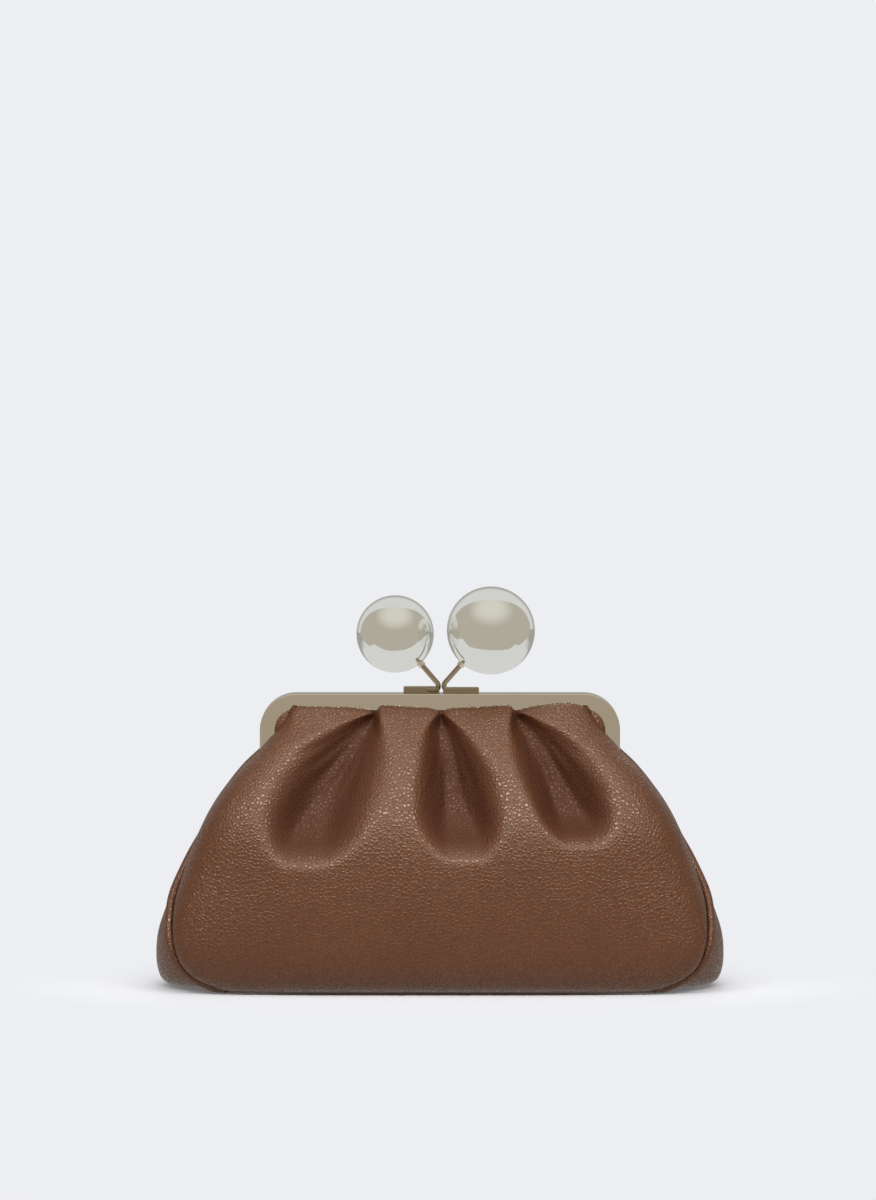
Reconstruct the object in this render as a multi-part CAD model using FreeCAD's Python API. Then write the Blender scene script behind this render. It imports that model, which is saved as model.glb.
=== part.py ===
"""Kiss lock frame purse: a pleated leather clutch on a hinged two-part metal frame.

Lengths are in millimetres and angles in degrees. +Z is up, the front faces -Y,
and the purse stands on Z = 0, centred on X and Y, with its frame shut.
"""

import FreeCAD
import Part
import math
import os

Vector = FreeCAD.Vector

# Leather body
body_width = 272.0          # front panel, seam to seam at the belly
body_depth = 116.0          # front belly to back belly
gusset_swell = 9.0          # gusset out past the panels' seams, each side
hinge_height = 92.0         # floor to the frame's hinge axis
leather = 1.6               # outer leather
padding = 2.4               # foam between leather and lining
lining = 0.8                # woven lining
board = 1.6                 # stiff board in the base
layer_gap = 0.25            # between the layers of the wall
gusset_lining_gap = 2.4     # gusset to its loose lining, and to the board
piping_radius = 2.2
piping_gap = 0.8            # piping to the panel
gusset_gap = 1.7            # piping to the gusset's edge

# One row per level of the body, from the floor to the hinge axis
level_shares = (0.10, 0.20, 0.38, 0.60, 0.80, 0.90, 1.0)
width_shares = (0.838, 0.838, 0.923, 0.982, 1.0, 0.967, 0.912, 0.885, 0.857)
depth_shares = (0.78, 0.88, 0.96, 1.0, 0.985, 0.908, 0.815, 0.776, 0.759)
seam_shares = (0.71, 0.71, 0.72, 0.72, 0.62, 0.41, 0.22, 0.15, 0.05)
reach_shares = (0.966, 0.966, 0.988, 1.0, 0.986, 0.920, 0.856, 0.828)
belly_powers = (2.8, 2.8, 2.8, 2.8, 2.8, 2.7, 2.5, 2.3, 2.1)    # how square each panel section is
gusset_rows = len(reach_shares)

# Frame halves, pressed channel open towards the leather
frame_width_share = 0.6765  # frame's width to the body's
frame_rise = 58.0           # hinge axis to the top of the frame
frame_face = 8.2            # height of the outer wall
frame_inner_wall = 6.0      # height of the wall beside the other half
frame_depth = 8.0           # each half, front to back
frame_wall = 0.9
frame_corner = 18.4
frame_edge = 0.5            # rounding of the outer edges
half_gap = 0.3              # between the shut halves
open_angle = 45.0           # swing of each half

# Hinge at the foot of each leg
ear_radius = 5.0
ear_gap = 0.2
ear_lap = 6.0               # back ear lapped on the leg above it
ear_clearance = 0.6
pin_radius = 1.5
pin_clearance = 0.05
pin_head_radius = 2.8
pin_head = 1.0
pin_play = 0.1

# Kiss lock stems
bar_length = 18.4
bar_height = 3.3
bar_depth = 5.0
bar_offset = 3.6            # bar's middle from the shutting plane
bar_edge = 0.7
bar_start = 0.9             # bar's inner end from the kissing plane
wire_radius = 1.3
elbow_radius = 2.4
elbow_cross = 2.3           # elbow's corner past the shutting plane
kiss_offset = 0.65          # kissing plane from the middle of the frame
elbow_gap = 0.76            # between the bends, most of it taken up by their slant
stem_slope = 49.0
stem_length = 18.0          # elbow's corner to the ball
stem_rivet_radius = 1.0
stem_rivet_head_radius = 1.7
stem_rivet_head = 0.8
stem_rivet_depth = 2.0      # into the bar
stem_rivet_spacing = 10.0
stem_rivet_clearance = 0.05

# Balls and their collars
large_ball_radius = 22.5
small_ball_radius = 19.8
ball_wall = 0.8
ball_offset = 2.5           # ball's middle from the shutting plane
spigot = 3.0                # stem inside the ball's wall
collar_radius = 1.9
collar_length = 1.8
collar_clearance = 0.05

# Leather and filler cord held in the frame's channel
flange = 1.4
flange_gap = 0.35           # to the outer wall
flange_inset = 2.2          # from the frame's outer edge
filler_radius = 1.2
filler_inset = 3.5
filler_gap = 0.3
filler_end = 1.0            # filler and flange end above the leg's foot
pleat = 2.0                 # gathered leather below the frame
pleat_gap = 0.4
pleat_rise = 2.5            # gathers stand over the frame's lower edge
pleat_bulge = 9.8           # gathers stand out from the body's radius
pleat_end_gap = 0.6         # to the legs
slide_gap = 0.8             # gathers to the body as they swing
# Places across the gathers, and how full the leather is there: three pleats between four swells
gather_place_shares = (
    -1.0, -0.9, -0.8, -0.68, -0.56, -0.46, -0.39, -0.32, -0.19, -0.06,
    0.006, 0.07, 0.24, 0.41, 0.48, 0.55, 0.66, 0.78, 0.9, 1.0,
)
gather_full_shares = (
    0.5, 0.7, 0.9, 1.0, 0.95, 0.75, 0.1, 0.75, 1.0, 0.7,
    0.1, 0.7, 1.0, 0.75, 0.1, 0.75, 0.95, 1.0, 0.8, 0.5,
)
swing_margin = 1.0          # degrees
lap_angle = 4.0
shoulder_end = 42.0         # degrees, top of the body outside the legs
notch_gap = 0.6

cut_overrun = 2.0
section_steps = 14
piping_points = 14

# Places that follow from the sizes above
wall = leather + padding + lining + 2 * layer_gap
gusset_width = body_width + 2 * gusset_swell
frame_width = body_width * frame_width_share
frame_top = hinge_height + frame_rise
frame_lip = frame_top - frame_face
half_frame = frame_width / 2
frame_near = half_gap / 2
frame_far = frame_near + frame_depth
leg_foot = hinge_height + ear_radius + ear_clearance
hinge_axis_point = Vector(0, 0, hinge_height)
lining_floor = leather + board + 2 * layer_gap
levels = (0.0, lining_floor) + tuple(hinge_height * share for share in level_shares)
gather_end = 90.0 - open_angle - swing_margin
panel_end = gather_end - lap_angle
flange_width = frame_top - flange_inset - (frame_lip - pleat_gap - pleat)
flange_far = frame_far - frame_wall - flange_gap
flange_near = flange_far - flange
notch_inner = half_frame - flange_inset - flange_width - notch_gap
notch_outer = half_frame + pin_play + pin_head + notch_gap
piping_span = piping_gap + 2 * piping_radius + gusset_gap


def save(shape, name):
    """Write one piece as parts/NAME.step."""
    shape.exportStep(os.path.join("parts", name + ".step"))
    print(f"{name}: {len(shape.Solids)} solid, {shape.Volume:.0f} mm3, valid {shape.isValid()}")


def to_back(shape):
    """The same piece on the other side of the shutting plane."""
    return shape.mirror(Vector(0, 0, 0), Vector(0, 1, 0))


def to_left(shape):
    """The same piece on the other side of the middle."""
    return shape.mirror(Vector(0, 0, 0), Vector(1, 0, 0))


def box(low, high):
    """A box between two corners."""
    size = high - low
    return Part.makeBox(size.x, size.y, size.z, low)


def rod(start, end, radius):
    """A round bar between two points."""
    along = end - start
    return Part.makeCylinder(radius, along.Length, start, along)


def rounded_path(points, bend=None):
    """Straight runs joined by tangent arcs. With no bend given, each arc is as large as its runs allow."""
    edges = []
    start = points[0]
    for before, corner, after in zip(points, points[1:], points[2:]):
        back = (before - corner).normalize()
        ahead = (after - corner).normalize()
        half_turn = (math.pi - back.getAngle(ahead)) / 2
        shorter = min((before - corner).Length, (after - corner).Length)
        tangent = bend * math.tan(half_turn) if bend else 0.45 * shorter
        radius = tangent / math.tan(half_turn)
        middle = (back + ahead).normalize()
        arc_start = corner + back * tangent
        arc_end = corner + ahead * tangent
        arc_middle = corner + middle * (radius / math.cos(half_turn) - radius)
        edges.append(Part.LineSegment(start, arc_start).toShape())
        edges.append(Part.Arc(arc_start, arc_middle, arc_end).toShape())
        start = arc_end
    edges.append(Part.LineSegment(start, points[-1]).toShape())
    return Part.Wire(edges)


def tube(points, radius, bend=None):
    """A round tube along a rounded path."""
    path = rounded_path(points, bend)
    ring = Part.makeCircle(radius, points[0], points[1] - points[0])
    return path.makePipeShell([Part.Wire([ring])], True, False)


def belly_depth(row, x, inset):
    """Distance of a panel's surface from the shutting plane, at one level and one place across."""
    half_width = width_shares[row] * body_width / 2 - inset
    depth = depth_shares[row] * body_depth / 2 - inset
    seam = seam_shares[row] * body_depth / 2
    power = belly_powers[row]
    return seam + (depth - seam) * (1 - (x / half_width) ** power) ** (1 / power)


def belly_curve(row, inset):
    """A front panel's rounded section at one level, as a curve from the right seam to the left."""
    half_width = width_shares[row] * body_width / 2 - inset
    depth = depth_shares[row] * body_depth / 2 - inset
    seam = seam_shares[row] * body_depth / 2
    power = belly_powers[row]
    points = []
    for step in range(section_steps + 1):
        turn = math.pi * step / section_steps
        across = abs(math.cos(turn)) ** (2 / power)
        out = abs(math.sin(turn)) ** (2 / power)
        x = math.copysign(half_width * across, math.cos(turn))
        points.append(Vector(x, -(seam + (depth - seam) * out), levels[row]))
    curve = Part.BSplineCurve()
    curve.interpolate(points)
    return curve.toShape(), points[0], points[-1]


def belly_wire(row, inset, thickness):
    """Outline of a panel's wall at one level."""
    outer, outer_right, outer_left = belly_curve(row, inset)
    inner, inner_right, inner_left = belly_curve(row, inset + thickness)
    right = Part.LineSegment(outer_right, inner_right).toShape()
    left = Part.LineSegment(outer_left, inner_left).toShape()
    return Part.Wire([outer, left, inner, right])


def swing_up(face, start_angle, end_angle):
    """Turn a section at the hinge's level up about the hinge axis, between two angles from the vertical."""
    placed = face.copy()
    placed.rotate(hinge_axis_point, Vector(1, 0, 0), start_angle - 90)
    return placed.revolve(hinge_axis_point, Vector(1, 0, 0), end_angle - start_angle)


def panel_wall(inset, thickness, first_row):
    """One layer of the front wall: the belly, and a round shoulder about the hinge axis with room for the legs."""
    rows = range(first_row, len(levels))
    belly = Part.makeLoft([belly_wire(row, inset, thickness) for row in rows], True, False)
    face = Part.Face(belly_wire(len(levels) - 1, inset, thickness))
    nearest = belly_depth(len(levels) - 1, notch_outer, wall)
    notch_floor = open_angle + math.degrees(math.asin(frame_far / nearest)) + swing_margin
    shoulder = swing_up(face, 90, notch_floor)
    reach = half_frame + body_width
    front = -body_depth
    strips = (
        (-notch_inner, notch_inner, panel_end),
        (notch_outer, reach, shoulder_end),
        (-reach, -notch_outer, shoulder_end),
    )
    whole = belly.fuse(shoulder)
    for left, right, end_angle in strips:
        strip = box(Vector(left, front, 0), Vector(right, 0, frame_top))
        whole = whole.fuse(swing_up(face.common(strip), notch_floor, end_angle))
    return whole


def gusset_arc(row, inset):
    """The right gusset's curve at one level, from its front seam to its back seam."""
    x_edge = width_shares[row] * body_width / 2 - inset
    x_middle = reach_shares[row] * gusset_width / 2 - inset
    y_edge = seam_shares[row] * body_depth / 2 - piping_span
    z = levels[row]
    front = Vector(x_edge, -y_edge, z)
    back = Vector(x_edge, y_edge, z)
    return Part.Arc(front, Vector(x_middle, 0, z), back).toShape(), front, back


def gusset_side(inset, thickness, rows):
    """The right side of the gusset, through the levels in rows."""
    wires = []
    for row in rows:
        outer, outer_front, outer_back = gusset_arc(row, inset)
        inner, inner_front, inner_back = gusset_arc(row, inset + thickness)
        back = Part.LineSegment(outer_back, inner_back).toShape()
        front = Part.LineSegment(outer_front, inner_front).toShape()
        wires.append(Part.Wire([outer, back, inner, front]))
    return Part.makeLoft(wires, True, False)


def base_plate(inset, thickness, lift):
    """A flat plate with the outline of the base, round at both ends."""
    right, front, back = gusset_arc(0, inset)
    left = to_left(right)
    back_edge = Part.LineSegment(back, Vector(-back.x, back.y, back.z)).toShape()
    front_edge = Part.LineSegment(front, Vector(-front.x, front.y, front.z)).toShape()
    outline = Part.Wire(Part.__sortEdges__([right, back_edge, left, front_edge]))
    plate = Part.Face(outline).extrude(Vector(0, 0, thickness))
    plate.translate(Vector(0, 0, lift))
    return plate


def gusset_wall(inset, thickness, rows):
    """A side and base strip in one piece: the base, and a side up towards each hinge."""
    side = gusset_side(inset, thickness, rows)
    base = base_plate(inset + thickness / 2, thickness, levels[rows[0]])
    return base.fuse([side, to_left(side)])


def front_piping():
    """Corded piping along the front panel's seam, from one hinge round the base to the other."""
    seam = []
    for row in list(range(gusset_rows - 1, 1, -1)) + [0]:
        x = width_shares[row] * body_width / 2 - leather / 2
        y = seam_shares[row] * body_depth / 2 - piping_gap - piping_radius
        seam.append(Vector(x, -y, max(levels[row], piping_radius)))
    curve = Part.BSplineCurve()
    curve.interpolate(seam)
    right = curve.discretize(Number=piping_points)
    left = [Vector(-p.x, p.y, p.z) for p in reversed(right)]
    return tube(right + left, piping_radius)


def arch_face(inset, band, foot, y):
    """An arch with the frame's outline: inset from its outer edge, band wide, legs down to foot."""
    out = half_frame - inset
    top = frame_top - inset
    bend = frame_corner - inset
    inner = max(bend - band, frame_wall)
    shift = bend - inner

    def side(half, height, corner):
        lean = corner * (1 - math.sqrt(0.5))
        right_foot = Vector(half, y, foot)
        right_bend = Vector(half, y, height - corner)
        right_middle = Vector(half - lean, y, height - lean)
        right_top = Vector(half - corner, y, height)
        mirrored = [Vector(-p.x, p.y, p.z) for p in (right_foot, right_bend, right_middle, right_top)]
        left_foot, left_bend, left_middle, left_top = mirrored
        return right_foot, left_foot, [
            Part.LineSegment(right_foot, right_bend).toShape(),
            Part.Arc(right_bend, right_middle, right_top).toShape(),
            Part.LineSegment(right_top, left_top).toShape(),
            Part.Arc(left_top, left_middle, left_bend).toShape(),
            Part.LineSegment(left_bend, left_foot).toShape(),
        ]

    outer_right, outer_left, outer = side(out, top, bend)
    inner_right, inner_left, inside = side(out - band, top - band, bend - shift)
    joins = [
        Part.LineSegment(outer_left, inner_left).toShape(),
        Part.LineSegment(inner_right, outer_right).toShape(),
    ]
    return Part.Face(Part.Wire(Part.__sortEdges__(outer + inside + joins)))


def arch(inset, band, foot, near, far):
    """An arch between two distances in front of the shutting plane."""
    return arch_face(inset, band, foot, -far).extrude(Vector(0, far - near, 0))


def frame_channel():
    """The front half's pressed channel, without its hinge ears."""
    solid = arch(0, frame_face, leg_foot, frame_near, frame_far)
    outer_edges = [
        edge for edge in solid.Edges
        if all(abs(v.Y + frame_far) < frame_wall / 2 for v in edge.Vertexes)
        and edge.CenterOfMass.z > leg_foot
        and not on_inner_edge(edge)
    ]
    solid = solid.makeFillet(frame_edge, outer_edges)
    foot = leg_foot - cut_overrun
    groove = arch(frame_wall, frame_face, foot, frame_near + frame_wall, frame_far - frame_wall)
    short_wall = arch(frame_inner_wall, frame_face, foot, frame_near - cut_overrun, frame_near + frame_wall)
    return solid.cut([groove, short_wall])


def on_inner_edge(edge):
    """True for an edge on the inside of the arch."""
    middle = edge.valueAt((edge.FirstParameter + edge.LastParameter) / 2)
    inside_side = abs(middle.x) < half_frame - frame_corner / 2 and middle.z < frame_top - frame_wall
    return inside_side or (abs(middle.x) < half_frame - frame_wall and middle.z < frame_top - frame_corner)


def hinge_ear(x_low, x_high, lap_top):
    """A front ear: a disc on the hinge axis, with a strip up to the leg."""
    disc = rod(Vector(x_low, 0, hinge_height), Vector(x_high, 0, hinge_height), ear_radius)
    strip = box(Vector(x_low, -ear_radius, hinge_height), Vector(x_high, -frame_near, lap_top))
    hole = rod(
        Vector(x_low - cut_overrun, 0, hinge_height),
        Vector(x_high + cut_overrun, 0, hinge_height),
        pin_radius + pin_clearance,
    )
    return disc.fuse(strip).cut(hole)


def front_frame():
    """The front half, with its ears in line with the outer web."""
    ear = hinge_ear(half_frame - frame_wall, half_frame, leg_foot)
    whole = frame_channel().fuse([ear, to_left(ear)]).removeSplitter()
    return whole.cut(stem_rivet_holes(1, -1))


def back_frame():
    """The back half, with its ears inside the front ones and lapped on the web."""
    ear_out = half_frame - frame_wall - ear_gap
    ear_in = ear_out - frame_wall
    ear = hinge_ear(ear_in, ear_out, leg_foot + ear_lap)
    lap = box(
        Vector(ear_in, -ear_radius, leg_foot),
        Vector(half_frame - frame_wall, -frame_near, leg_foot + ear_lap),
    )
    ear = ear.fuse(lap)
    whole = to_back(frame_channel().fuse([ear, to_left(ear)]).removeSplitter())
    return whole.cut(stem_rivet_holes(-1, 1))


def hinge_pin():
    """The right hinge's rivet, through both ears."""
    outer = half_frame + pin_play
    inner = half_frame - 2 * frame_wall - ear_gap - pin_play
    shank = rod(Vector(inner, 0, hinge_height), Vector(outer, 0, hinge_height), pin_radius)
    head = rod(Vector(outer, 0, hinge_height), Vector(outer + pin_head, 0, hinge_height), pin_head_radius)
    rim = [edge for edge in head.Edges if all(v.X > outer + pin_head / 2 for v in edge.Vertexes)]
    head = head.makeFillet(pin_head / 2, rim)
    tail = rod(Vector(inner - pin_head, 0, hinge_height), Vector(inner, 0, hinge_height), pin_head_radius)
    return shank.fuse([head, tail]).removeSplitter()


def bar_middle(lean, side):
    """Middle of a stem's bar on its half of the frame."""
    x = kiss_offset + lean * (bar_start + bar_length / 2)
    return Vector(x, side * bar_offset, frame_top + bar_height / 2)


def rivet_places(lean, side):
    """Foot of each stem rivet, on the frame's top."""
    middle = bar_middle(lean, side)
    for step in (-0.5, 0.5):
        yield Vector(middle.x + step * stem_rivet_spacing, middle.y, frame_top)


def stem_rivet_holes(lean, side):
    """Cutters for the stem rivets, through the web and into the bar."""
    radius = stem_rivet_radius + stem_rivet_clearance
    low = Vector(0, 0, -frame_wall - cut_overrun)
    high = Vector(0, 0, stem_rivet_depth + stem_rivet_clearance)
    return [rod(place + low, place + high, radius) for place in rivet_places(lean, side)]


def stem_rivets(lean, side):
    """The two rivets that hold a stem's bar down, headed inside the channel."""
    pieces = []
    for place in rivet_places(lean, side):
        under = place - Vector(0, 0, frame_wall)
        shank = rod(under, place + Vector(0, 0, stem_rivet_depth), stem_rivet_radius)
        head = rod(under - Vector(0, 0, stem_rivet_head), under, stem_rivet_head_radius)
        pieces.append(shank.fuse(head).removeSplitter())
    return Part.makeCompound(pieces)


def elbow_corner(lean, side):
    """Where a stem's bar line and slope line would meet."""
    half_turn = math.radians(180 - stem_slope) / 2
    out = elbow_gap / 2 + wire_radius + elbow_radius - elbow_radius * math.tan(half_turn)
    return Vector(kiss_offset + lean * out, -side * elbow_cross, frame_top + bar_height / 2)


def ball_middle(lean, side, ball_radius):
    """Centre of the ball on a stem."""
    slope = math.radians(stem_slope)
    reach = stem_length + ball_radius
    corner = elbow_corner(lean, side)
    return Vector(
        corner.x + lean * reach * math.cos(slope),
        side * ball_offset,
        corner.z + reach * math.sin(slope),
    )


def stem_direction(lean, side, ball_radius):
    """Unit vector from a ball's centre down its stem."""
    return (elbow_corner(lean, side) - ball_middle(lean, side, ball_radius)).normalize()


def stem(lean, side, ball_radius):
    """A bar on the frame that bends back over itself into the ball's stem."""
    middle = bar_middle(lean, side)
    half = Vector(bar_length / 2, bar_depth / 2, bar_height / 2)
    bar = box(middle - half, middle + half)
    top_edges = [edge for edge in bar.Edges if all(v.Z > middle.z for v in edge.Vertexes)]
    bar = bar.makeFillet(bar_edge, top_edges)
    tip = ball_middle(lean, side, ball_radius)
    tip = tip + stem_direction(lean, side, ball_radius) * (ball_radius - ball_wall - spigot)
    wire = tube([middle, elbow_corner(lean, side), tip], wire_radius, elbow_radius)
    return bar.fuse(wire).removeSplitter().cut(stem_rivet_holes(lean, side))


def ball(lean, side, ball_radius):
    """A hollow ball, bored for its stem."""
    middle = ball_middle(lean, side, ball_radius)
    along = stem_direction(lean, side, ball_radius)
    shell = Part.makeSphere(ball_radius, middle)
    hollow = Part.makeSphere(ball_radius - ball_wall, middle)
    bore_start = middle + along * (ball_radius / 2)
    bore = rod(bore_start, middle + along * (ball_radius + cut_overrun), wire_radius + collar_clearance)
    return shell.cut(hollow.fuse(bore))


def collar(lean, side, ball_radius):
    """The ring round the stem, seated on the ball."""
    middle = ball_middle(lean, side, ball_radius)
    along = stem_direction(lean, side, ball_radius)
    start = middle + along * (ball_radius - collar_length / 2)
    end = middle + along * (ball_radius + collar_length)
    ring = rod(start, end, collar_radius)
    bore = rod(start - along * cut_overrun, end + along * cut_overrun, wire_radius + collar_clearance)
    seat = Part.makeSphere(ball_radius + collar_clearance, middle)
    return ring.cut([bore, seat])


def filler_cord():
    """Paper cord pressed into the front half's channel beside the leather."""
    y = -(flange_near - filler_gap - filler_radius)
    out = half_frame - filler_inset
    top = frame_top - filler_inset
    foot = leg_foot + filler_end
    points = [Vector(out, y, foot), Vector(out, y, top), Vector(-out, y, top), Vector(-out, y, foot)]
    return tube(points, filler_radius, frame_corner - filler_inset)


def about_hinge(radius, angle):
    """A point in the middle plane, at a radius and an angle from the vertical towards the front."""
    turn = math.radians(angle)
    return Vector(0, -radius * math.sin(turn), hinge_height + radius * math.cos(turn))


def lip_height(x):
    """Lower edge of the frame's top at one place across. It drops round the corners."""
    bend = frame_corner - frame_face
    past = max(0, abs(x) - (half_frame - frame_corner))
    return frame_lip - bend + math.sqrt(bend ** 2 - past ** 2)


def gather_section(x, fullness):
    """The gathered leather's closed outline at one place across, from the channel to its lower edge."""
    radius = belly_depth(len(levels) - 1, abs(x), 0) + slide_gap
    bulge = pleat + (pleat_bulge - pleat) * fullness
    face_y = -(frame_far + pleat_gap)
    under = lip_height(x) - pleat_gap
    across = Vector(x, 0, 0)
    lip = across + Vector(0, face_y, under + pleat_rise * fullness)
    outer_middle = across + about_hinge(radius + bulge, gather_end / 2)
    inner_middle = across + about_hinge(radius + bulge - pleat, gather_end / 2)
    outer_end = across + about_hinge(radius + pleat, gather_end)
    inner_end = across + about_hinge(radius, gather_end)
    low = across + Vector(0, -flange_near, under - pleat)
    high = across + Vector(0, -flange_near, under)
    corner = across + Vector(0, face_y, under)
    return Part.Wire([
        Part.Arc(lip, outer_middle, outer_end).toShape(),
        Part.LineSegment(outer_end, inner_end).toShape(),
        Part.Arc(inner_end, inner_middle, low).toShape(),
        Part.LineSegment(low, high).toShape(),
        Part.LineSegment(high, corner).toShape(),
        Part.LineSegment(corner, lip).toShape(),
    ])


def front_gathers():
    """The gathered top of the front panel: a flange in the channel and a pleated crown below the frame."""
    tucked = arch(flange_inset, flange_width, leg_foot + filler_end, flange_near, flange_far)
    half = half_frame - frame_face - pleat_end_gap
    places = zip(gather_place_shares, gather_full_shares)
    crown = Part.makeLoft([gather_section(half * place, full) for place, full in places], True, True)
    return tucked.fuse(crown)


def main():
    os.makedirs("parts", exist_ok=True)

    panel = panel_wall(0, leather, 0)
    save(panel, "front_panel")
    save(to_back(panel), "back_panel")
    foam = panel_wall(leather + layer_gap, padding, 2)
    save(foam, "front_padding")
    save(to_back(foam), "back_padding")
    cloth = panel_wall(leather + padding + 2 * layer_gap, lining, 2)
    save(cloth, "front_lining")
    save(to_back(cloth), "back_lining")

    save(gusset_wall(0, leather, range(gusset_rows)), "gusset")
    save(base_plate(leather + gusset_lining_gap, board, leather + layer_gap), "base_board")
    save(gusset_wall(leather + gusset_lining_gap, lining, range(1, gusset_rows - 1)), "gusset_lining")
    piping = front_piping()
    save(piping, "front_piping")
    save(to_back(piping), "back_piping")

    pin = hinge_pin()
    save(pin, "right_hinge_pin")
    save(to_left(pin), "left_hinge_pin")
    save(front_frame(), "front_frame")
    save(back_frame(), "back_frame")
    cord = filler_cord()
    save(cord, "front_filler_cord")
    save(to_back(cord), "back_filler_cord")
    gathers = front_gathers()
    save(gathers, "front_gathers")
    save(to_back(gathers), "back_gathers")

    for name, lean, side, ball_name, radius in (
        ("front", 1, -1, "large_ball", large_ball_radius),
        ("back", -1, 1, "small_ball", small_ball_radius),
    ):
        save(stem(lean, side, radius), name + "_stem")
        save(stem_rivets(lean, side), name + "_stem_rivets")
        save(ball(lean, side, radius), ball_name)
        save(collar(lean, side, radius), ball_name + "_collar")


main()
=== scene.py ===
# %% [markdown]
# # A kiss lock frame purse
# This lesson dresses the construction model of a leather clutch: a pleated bag on a hinged metal frame,
# shut by two balls that snap past each other. The construction model gives every place and every joint.
# Here the soft pieces get their folds, and every surface gets its material.

# %% Load the construction model
import bmesh
import bpy
import math
import numpy as np
from mathutils import Matrix, Vector


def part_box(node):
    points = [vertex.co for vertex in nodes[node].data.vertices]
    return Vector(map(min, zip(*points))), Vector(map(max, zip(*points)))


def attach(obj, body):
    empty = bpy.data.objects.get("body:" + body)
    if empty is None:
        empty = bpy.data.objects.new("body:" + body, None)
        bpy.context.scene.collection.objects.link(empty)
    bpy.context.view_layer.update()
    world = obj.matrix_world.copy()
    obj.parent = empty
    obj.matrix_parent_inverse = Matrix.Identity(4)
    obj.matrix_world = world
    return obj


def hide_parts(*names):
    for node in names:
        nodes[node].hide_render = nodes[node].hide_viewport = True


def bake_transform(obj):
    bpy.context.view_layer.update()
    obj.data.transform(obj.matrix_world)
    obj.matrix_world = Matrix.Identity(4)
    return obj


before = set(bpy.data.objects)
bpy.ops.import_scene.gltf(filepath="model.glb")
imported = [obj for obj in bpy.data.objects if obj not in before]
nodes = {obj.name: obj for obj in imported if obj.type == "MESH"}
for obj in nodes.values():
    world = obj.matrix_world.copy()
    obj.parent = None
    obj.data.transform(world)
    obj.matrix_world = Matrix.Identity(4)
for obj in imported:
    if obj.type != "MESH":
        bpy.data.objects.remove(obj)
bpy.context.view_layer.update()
MM = 0.001

# %% [markdown]
# ## Camera
# The purse is seen straight from the front, a little from above, from far away, so that its sides hardly
# converge. A long lens three metres off gives that. The picture is 1200 pixels high, and each is about half
# a millimetre at the purse.

# %% Camera
CAMERA_DISTANCE = 3.0
CAMERA_PITCH = math.radians(2.7)
VIEW_MIDDLE = Vector((-1.0, 0.0, 197.7)) * MM
PICTURE_HEIGHT, PIXEL_MM = 1200, 0.5115
VIEW_HEIGHT = PICTURE_HEIGHT * PIXEL_MM * MM
SENSOR_HEIGHT = 36

camera_data = bpy.data.cameras.new("camera")
camera_data.sensor_fit = 'VERTICAL'
camera_data.sensor_height = SENSOR_HEIGHT
camera_data.lens = SENSOR_HEIGHT * CAMERA_DISTANCE / VIEW_HEIGHT
camera = bpy.data.objects.new("camera", camera_data)
camera.location = VIEW_MIDDLE + CAMERA_DISTANCE * Vector((0, -math.cos(CAMERA_PITCH), math.sin(CAMERA_PITCH)))
camera.rotation_euler = (math.pi / 2 - CAMERA_PITCH, 0, 0)
bpy.context.scene.collection.objects.link(camera)
bpy.context.scene.camera = camera
bpy.context.scene.view_settings.view_transform = 'Standard'
print("camera lens:", round(camera_data.lens), "mm")

# %% [markdown]
# ## Small helpers for materials
# Colours are picked on a screen, as sRGB hex values, but a renderer adds light in linear values, so one
# function turns the first into the second. Another adds a node, sets it and links it. The rest are short forms
# of nodes that come back often: a sum, a share of the way between two values, and a mix of two colours.


# %% Material helpers
def linear(code):
    """Linear RGBA from an sRGB hex colour."""
    channels = [int(code[i:i + 2], 16) / 255 for i in (1, 3, 5)]
    return [c / 12.92 if c <= 0.04045 else ((c + 0.055) / 1.055) ** 2.4 for c in channels] + [1.0]


def add(tree, kind, settings=None, inputs=None):
    """Add a node: settings are its properties, inputs are values or sockets to link from."""
    node = tree.nodes.new(kind)
    for name, value in (settings or {}).items():
        setattr(node, name, value)
    for name, value in (inputs or {}).items():
        if isinstance(value, bpy.types.NodeSocket):
            tree.links.new(value, node.inputs[name])
        else:
            node.inputs[name].default_value = value
    return node


def new_material(name):
    """A material with its Principled shader, its node tree and Object coordinates."""
    material = bpy.data.materials.new(name)
    material.use_nodes = True
    tree = material.node_tree
    shader = tree.nodes["Principled BSDF"]
    place = tree.nodes.new("ShaderNodeTexCoord").outputs["Object"]
    return material, tree, shader, place


def calculate(tree, operation, *values):
    """The result of one step of arithmetic on values or sockets."""
    return add(tree, "ShaderNodeMath", {"operation": operation}, dict(enumerate(values))).outputs[0]


def share_between(tree, value, start, end, soft=True):
    """0 where a value is at the start, 1 at the end, with soft ends or in a straight line."""
    kind = 'SMOOTHSTEP' if soft else 'LINEAR'
    return add(tree, "ShaderNodeMapRange", {"interpolation_type": kind},
               {"Value": value, "From Min": start, "From Max": end}).outputs[0]


def blend_colours(tree, share, first, second):
    """The colour that lies between two colours."""
    mix = add(tree, "ShaderNodeMix", {"data_type": 'RGBA'})
    for socket, value in ((mix.inputs[0], share), (mix.inputs[6], first), (mix.inputs[7], second)):
        if isinstance(value, bpy.types.NodeSocket):
            tree.links.new(value, socket)
        else:
            socket.default_value = value
    return mix.outputs[2]


def ramp(tree, value, stops):
    """A colour ramp between stops of (position, colour), fed by a value."""
    node = add(tree, "ShaderNodeValToRGB", inputs={"Fac": value})
    while len(node.color_ramp.elements) < len(stops):
        node.color_ramp.elements.new(0.5)
    for element, (position, colour) in zip(node.color_ramp.elements, stops):
        element.position = position
        element.color = colour
    return node.outputs["Color"]


print("material helpers ready")

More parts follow.
